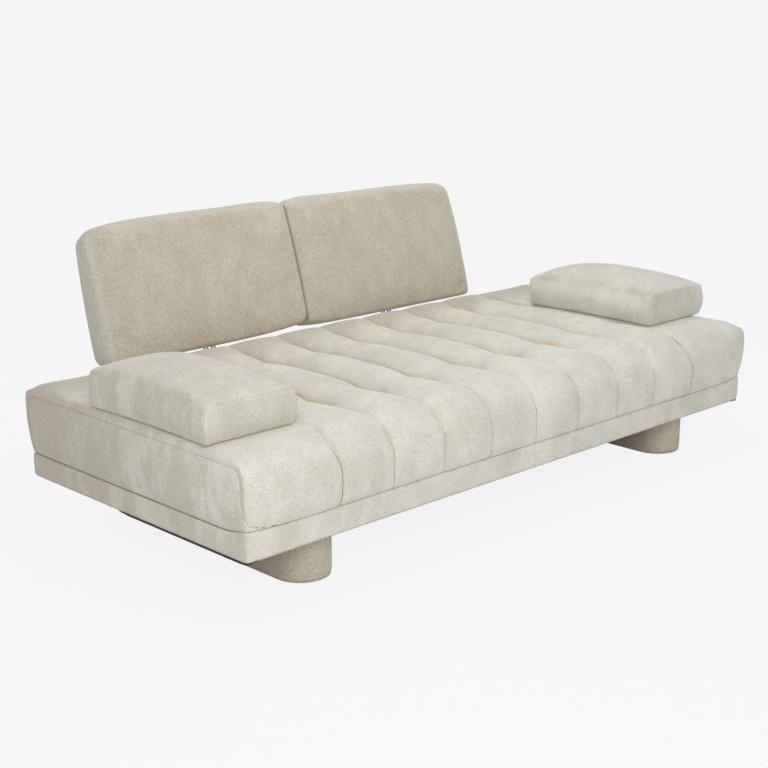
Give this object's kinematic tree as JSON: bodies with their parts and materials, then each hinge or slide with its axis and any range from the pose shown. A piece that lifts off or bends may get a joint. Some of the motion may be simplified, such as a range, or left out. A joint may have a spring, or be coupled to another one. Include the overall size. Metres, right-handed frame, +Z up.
{
  "type": "three-seater sofa",
  "caption": "Long upholstered lounge sofa with a channelled seat pad, oblong feet, leaning back panels on chrome posts and loose arm cushions.",
  "frame": {"origin": "middle of the footprint of the whole sofa, on the floor", "axes": "+X along the sofa to the sitter's left as seen from the front, +Y towards the back, +Z up"},
  "size_m": [2.2206, 1.2016, 0.8359],
  "materials": {
    "seat_fabric": "light beige-grey chenille",
    "back_fabric": "beige-grey chenille",
    "foot_fabric": "beige-grey chenille",
    "black_cloth": "thin non-woven cloth",
    "timber": "sawn softwood and birch plywood",
    "steel": "zinc-plated",
    "chrome": "polished",
    "black_plastic": "matt"
  },
  "bodies": {
    "base": {"front_rail": "timber", "rear_rail": "timber", "left_rail": "timber", "right_rail": "timber", "cross_rails": "timber", "foot_rail_left": "timber", "foot_rail_right": "timber", "corner_blocks": "timber", "deck_board": "timber", "dust_cover": "black_cloth", "band_cover": "seat_fabric", "seat_pad": "seat_fabric", "foot_core_left": "timber", "foot_core_right": "timber", "foot_cover_left": "foot_fabric", "foot_cover_right": "foot_fabric", "foot_glides": "black_plastic", "foot_bolts": "steel", "socket_left": "steel", "socket_right": "steel", "socket_bolts": "chrome"},
    "fitting_left": {"posts_left": "chrome", "crosshead_left": "steel"},
    "back_left": {"hinge_pin_left": "steel", "saddle_left": "steel", "saddle_bolts_left": "steel", "friction_washers_left": "black_plastic", "back_board_left": "timber", "back_pad_left": "back_fabric"},
    "arm_left": {"arm_cushion_left": "seat_fabric"},
    "fitting_right": {"posts_right": "chrome", "crosshead_right": "steel"},
    "back_right": {"hinge_pin_right": "steel", "saddle_right": "steel", "saddle_bolts_right": "steel", "friction_washers_right": "black_plastic", "back_board_right": "timber", "back_pad_right": "back_fabric"},
    "arm_right": {"arm_cushion_right": "seat_fabric"}
  },
  "joints": [
    {"name": "back_left_lift", "type": "slide", "parent": "base", "child": "fitting_left", "axis": [0, 0, 1], "range_m": [0, 0.12]},
    {"name": "back_left_tilt", "type": "hinge", "parent": "fitting_left", "child": "back_left", "pos_m": [-0.401, 0.46425, 0.44529], "axis": [-1, 0, 0], "range_deg": [0, 20]},
    {"name": "back_right_lift", "type": "slide", "parent": "base", "child": "fitting_right", "axis": [0, 0, 1], "range_m": [0, 0.12]},
    {"name": "back_right_tilt", "type": "hinge", "parent": "fitting_right", "child": "back_right", "pos_m": [0.401, 0.46425, 0.44529], "axis": [-1, 0, 0], "range_deg": [0, 20]},
    {"name": "arm_left_lift", "type": "slide", "parent": "base", "child": "arm_left", "axis": [0, 0, 1], "range_m": [0, 0.3]},
    {"name": "arm_right_lift", "type": "slide", "parent": "base", "child": "arm_right", "axis": [0, 0, 1], "range_m": [0, 0.3]}
  ]
}
